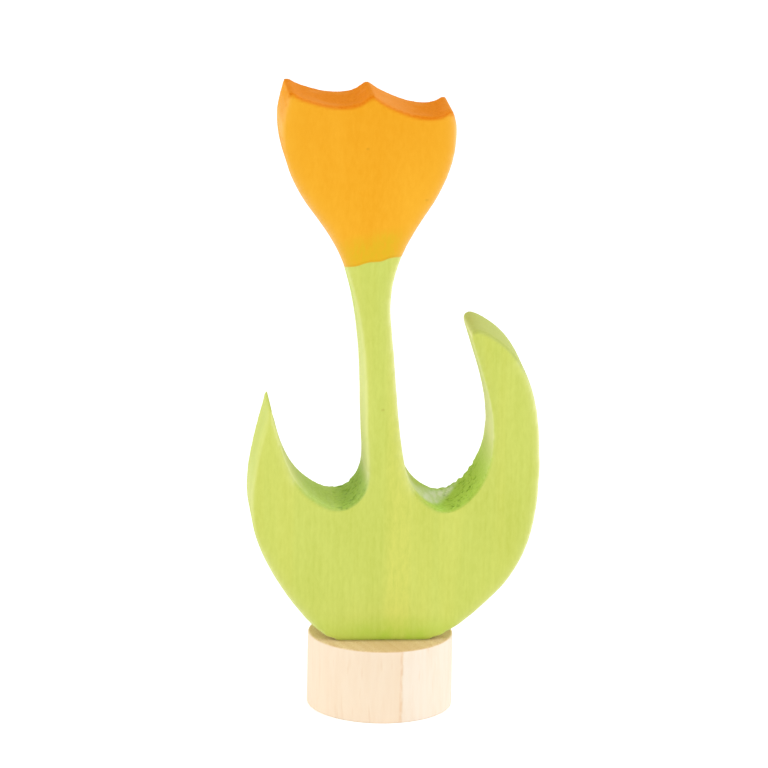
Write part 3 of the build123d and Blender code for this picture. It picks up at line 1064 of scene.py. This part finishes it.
plug.data.materials.append(bare_beech("bare_sanded_beech", PLUG_TINTS, contact_shadow_share=0.55))
dowel = frame["nodes"]["dowel_pin"]
dowel.data.materials.clear()
dowel.data.materials.append(bare_beech("bare_fluted_beech", DOWEL_TINTS, contact_shadow_share=0.0))

# %% [markdown]
# ## Tying the pieces to the frame
# Nothing on this figure moves, so everything rides on the one body. The two new pieces stand
# for their CAD nodes. The dowel keeps its CAD shape and only names its slot.

# %% Ride, replace, slot
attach(board, "root")
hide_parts("tulip_board")
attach(plug, "root")
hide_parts("base_plug")
print("tied to the frame:", board.name, plug.name, dowel.name)

# %% [markdown]
# ## A white table and soft light
# The figure stands on a white table before a white wall, between two wide softboxes.
# The table is a plain diffuse surface that takes the shadow. A little light of its own, only
# for the eye and for reflections, lifts it to white. The world does the same for the wall.
# The table and the softboxes are large, so they are written in metres.

# %% Table and world
TABLE_SIZE = 4.0
TABLE_GLOW = 0.38
WALL_LIGHT = 1.02


def seen_directly(tree):
    ray = add(tree, "ShaderNodeLightPath").outputs
    seen = add(tree, MATH, LARGER, [ray["Is Camera Ray"], ray["Is Glossy Ray"]])
    return add(tree, MATH, LARGER, [seen, ray["Is Transmission Ray"]])


bpy.ops.object.select_all(action="DESELECT")
bpy.ops.mesh.primitive_plane_add(size=TABLE_SIZE, location=(0, 0, 0))
table = bpy.context.active_object
table.name = "white_table"
paper = bpy.data.materials.new("matt_white_paper")
tree = empty_tree(paper)
glow = add(tree, MATH, TIMES, [seen_directly(tree), TABLE_GLOW])
matt_white = add(tree, "ShaderNodeBsdfDiffuse", (), {"Color": linear("#F4F4F4")})
lift = add(tree, "ShaderNodeEmission", (), {"Strength": glow})
both = add(tree, "ShaderNodeAddShader", (), [matt_white, lift])
add(tree, "ShaderNodeOutputMaterial", (), {"Surface": both})
table.data.materials.append(paper)

world = bpy.data.worlds.new("white_room")
bpy.context.scene.world = world
tree = empty_tree(world)
strength = add(tree, RANGE, STRAIGHT, [seen_directly(tree), 0.0, 1.0, WALL_LIGHT, 1.0])
wall = add(tree, "ShaderNodeBackground", (), {"Strength": strength})
add(tree, "ShaderNodeOutputWorld", (), {"Surface": wall})
print("table and wall are white, with a glow of", TABLE_GLOW, "on the table")

# %% [markdown]
# The shadows in the photograph are soft and the two sides of the figure nearly equally bright,
# so two wide softboxes stand left and right of it, a little in front, and look at its middle.
# The right one is a touch stronger.

# %% Two softboxes
SOFTBOXES = {"left_softbox": ((-1.22, -0.42, 0.45), 6.4),
             "right_softbox": ((1.22, -0.42, 0.45), 7.6)}
SOFTBOX_WIDE = 1.6
SOFTBOX_TALL = 1.0
LIT_PLACE = Vector((0, 0, 0.045))

for name, (place, power) in SOFTBOXES.items():
    bpy.ops.object.light_add(type="AREA", location=place)
    softbox = bpy.context.active_object
    softbox.name = name
    softbox.data.shape = "RECTANGLE"
    softbox.data.size = SOFTBOX_WIDE
    softbox.data.size_y = SOFTBOX_TALL
    softbox.data.energy = power
    towards = LIT_PLACE - softbox.location
    softbox.rotation_euler = towards.to_track_quat("-Z", "Y").to_euler()
    print(name, power, "W at", round(towards.length, 2), "m")

# %% [markdown]
# ## The camera
# The photograph was taken from a little above and a little to the left, with a long lens. The
# camera stands where a fit of the plug's two rims and the board's two faces puts it. Its right
# and up directions give the turn, and the third direction follows from them.

# %% Place the camera
CAMERA_PLACE = (-53.52, -598.26, 196.31)
CAMERA_RIGHT = (0.99627, -0.08430, 0.01828)
CAMERA_UP = (0.00291, 0.24462, 0.96961)
SENSOR_WIDTH = 36.0
LENS = 213.55
CLIP_START = 0.01

bpy.ops.object.camera_add()
camera = bpy.context.active_object
camera.name = "photo_camera"
right = Vector(CAMERA_RIGHT).normalized()
up = Vector(CAMERA_UP).normalized()
turn = Matrix((right, up, right.cross(up))).transposed().to_4x4()
camera.matrix_world = Matrix.Translation(Vector(CAMERA_PLACE) * MM) @ turn
camera.data.sensor_width = SENSOR_WIDTH
camera.data.lens = LENS
camera.data.clip_start = CLIP_START
bpy.context.scene.camera = camera
bpy.context.scene.view_settings.view_transform = "Standard"
print("camera", round(Vector(CAMERA_PLACE).length), "mm from the plug, lens", LENS, "mm")
